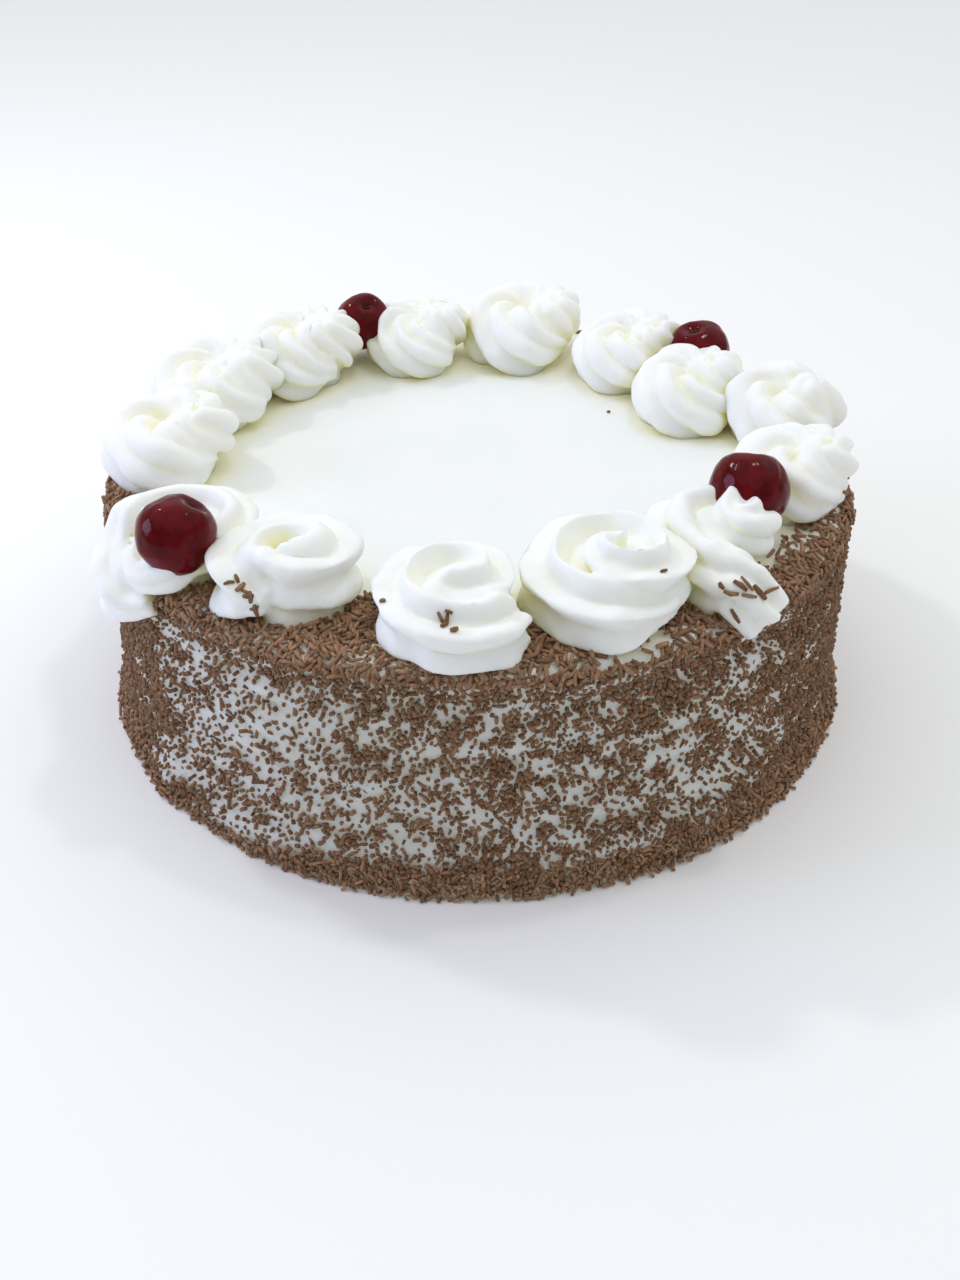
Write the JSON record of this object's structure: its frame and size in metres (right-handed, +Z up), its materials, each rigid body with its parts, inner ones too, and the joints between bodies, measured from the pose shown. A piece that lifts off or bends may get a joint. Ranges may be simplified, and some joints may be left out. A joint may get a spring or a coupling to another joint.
{
  "type": "black forest cake",
  "caption": "Round whole cream cake with chocolate sprinkles on its side, a ring of piped cream rosettes on the rim of its flat top, and cherries pressed in among them.",
  "frame": {"origin": "middle of the flat underside, on the surface that the cake stands on", "axes": "+Z up, -Y towards the front that shows in the picture, +X to the viewer's right"},
  "size_m": [0.2198, 0.2171, 0.091],
  "materials": {
    "coat": "smoothed whipped cream, soft satin",
    "cream": "piped whipped cream, soft satin",
    "cherry": "wet dark red skin, glossy",
    "sprinkles": "milk chocolate, dull"
  },
  "bodies": {
    "root": {"cake_body": "coat", "rosette_01": "cream", "rosette_02": "cream", "rosette_03": "cream", "rosette_04": "cream", "rosette_05": "cream", "rosette_06": "cream", "rosette_07": "cream", "rosette_08": "cream", "rosette_09": "cream", "rosette_10": "cream", "rosette_11": "cream", "rosette_12": "cream", "rosette_13": "cream", "rosette_14": "cream", "cherry_1": "cherry", "cherry_2": "cherry", "cherry_3": "cherry", "cherry_4": "cherry"}
  },
  "joints": []
}
